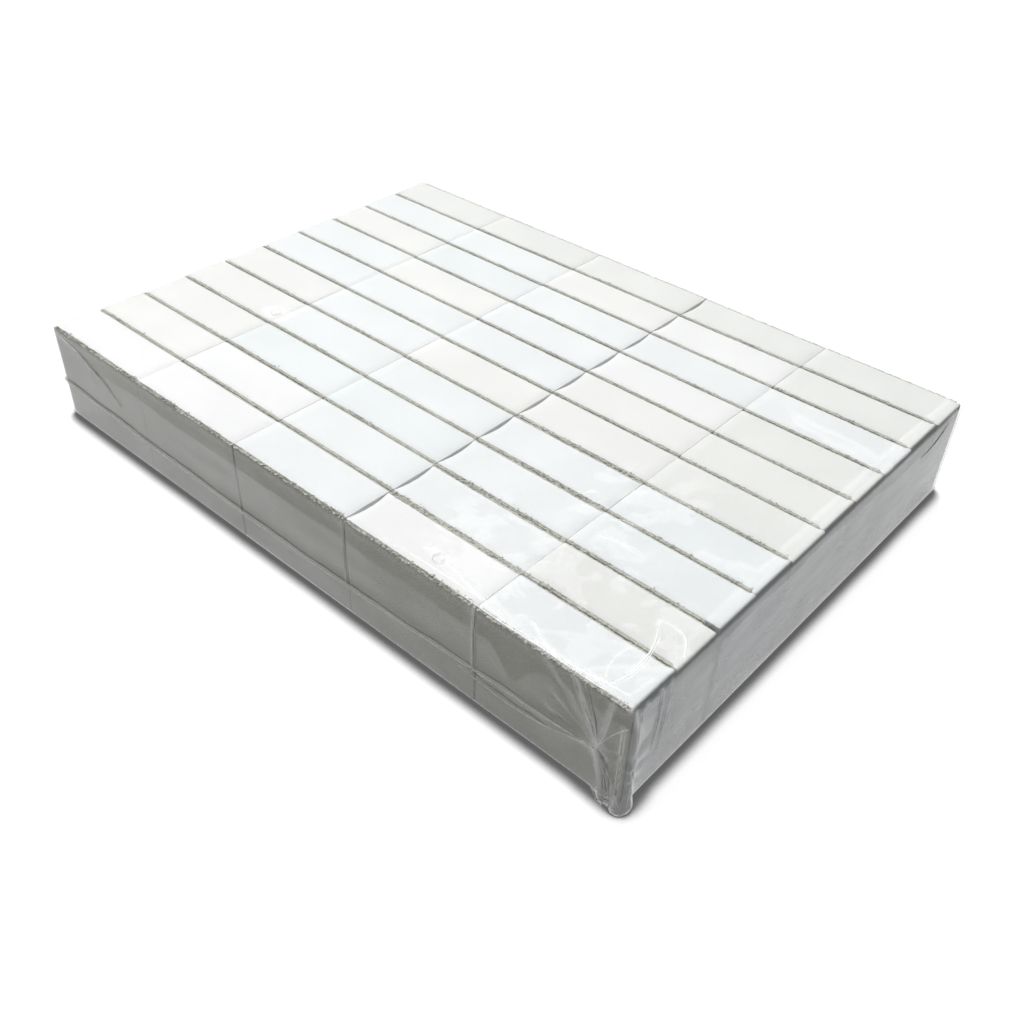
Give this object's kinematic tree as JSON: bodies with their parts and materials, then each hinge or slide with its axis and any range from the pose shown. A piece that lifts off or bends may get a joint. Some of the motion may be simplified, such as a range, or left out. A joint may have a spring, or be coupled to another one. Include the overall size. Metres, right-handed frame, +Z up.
{
  "type": "nail buffer block pack",
  "caption": "Shrink-wrapped flat pack of small white foam nail buffer blocks, each with an abrasive sheet on both wide faces.",
  "frame": {"origin": "middle of the pack's base, at the bottom centre of its box", "axes": "+X along the rows of blocks towards the film's folded end, +Y across the rows, +Z up out of the pack"},
  "size_m": [0.1762, 0.1266, 0.0253],
  "materials": {
    "foam": "matte",
    "coarse_grit": "matte",
    "fine_grit": "matte",
    "film": "gloss"
  },
  "bodies": {
    "root": {"foam_core_row1_block1": "foam", "foam_core_row1_block2": "foam", "foam_core_row1_block3": "foam", "foam_core_row1_block4": "foam", "foam_core_row1_block5": "foam", "foam_core_row2_block1": "foam", "foam_core_row2_block2": "foam", "foam_core_row2_block3": "foam", "foam_core_row2_block4": "foam", "foam_core_row2_block5": "foam", "foam_core_row3_block1": "foam", "foam_core_row3_block2": "foam", "foam_core_row3_block3": "foam", "foam_core_row3_block4": "foam", "foam_core_row3_block5": "foam", "foam_core_row4_block1": "foam", "foam_core_row4_block2": "foam", "foam_core_row4_block3": "foam", "foam_core_row4_block4": "foam", "foam_core_row4_block5": "foam", "foam_core_row5_block1": "foam", "foam_core_row5_block2": "foam", "foam_core_row5_block3": "foam", "foam_core_row5_block4": "foam", "foam_core_row5_block5": "foam", "foam_core_row6_block1": "foam", "foam_core_row6_block2": "foam", "foam_core_row6_block3": "foam", "foam_core_row6_block4": "foam", "foam_core_row6_block5": "foam", "foam_core_row7_block1": "foam", "foam_core_row7_block2": "foam", "foam_core_row7_block3": "foam", "foam_core_row7_block4": "foam", "foam_core_row7_block5": "foam", "foam_core_row8_block1": "foam", "foam_core_row8_block2": "foam", "foam_core_row8_block3": "foam", "foam_core_row8_block4": "foam", "foam_core_row8_block5": "foam", "foam_core_row9_block1": "foam", "foam_core_row9_block2": "foam", "foam_core_row9_block3": "foam", "foam_core_row9_block4": "foam", "foam_core_row9_block5": "foam", "foam_core_row10_block1": "foam", "foam_core_row10_block2": "foam", "foam_core_row10_block3": "foam", "foam_core_row10_block4": "foam", "foam_core_row10_block5": "foam", "coarse_grit_sheets": "coarse_grit", "fine_grit_sheets": "fine_grit", "shrink_film": "film"}
  },
  "joints": []
}
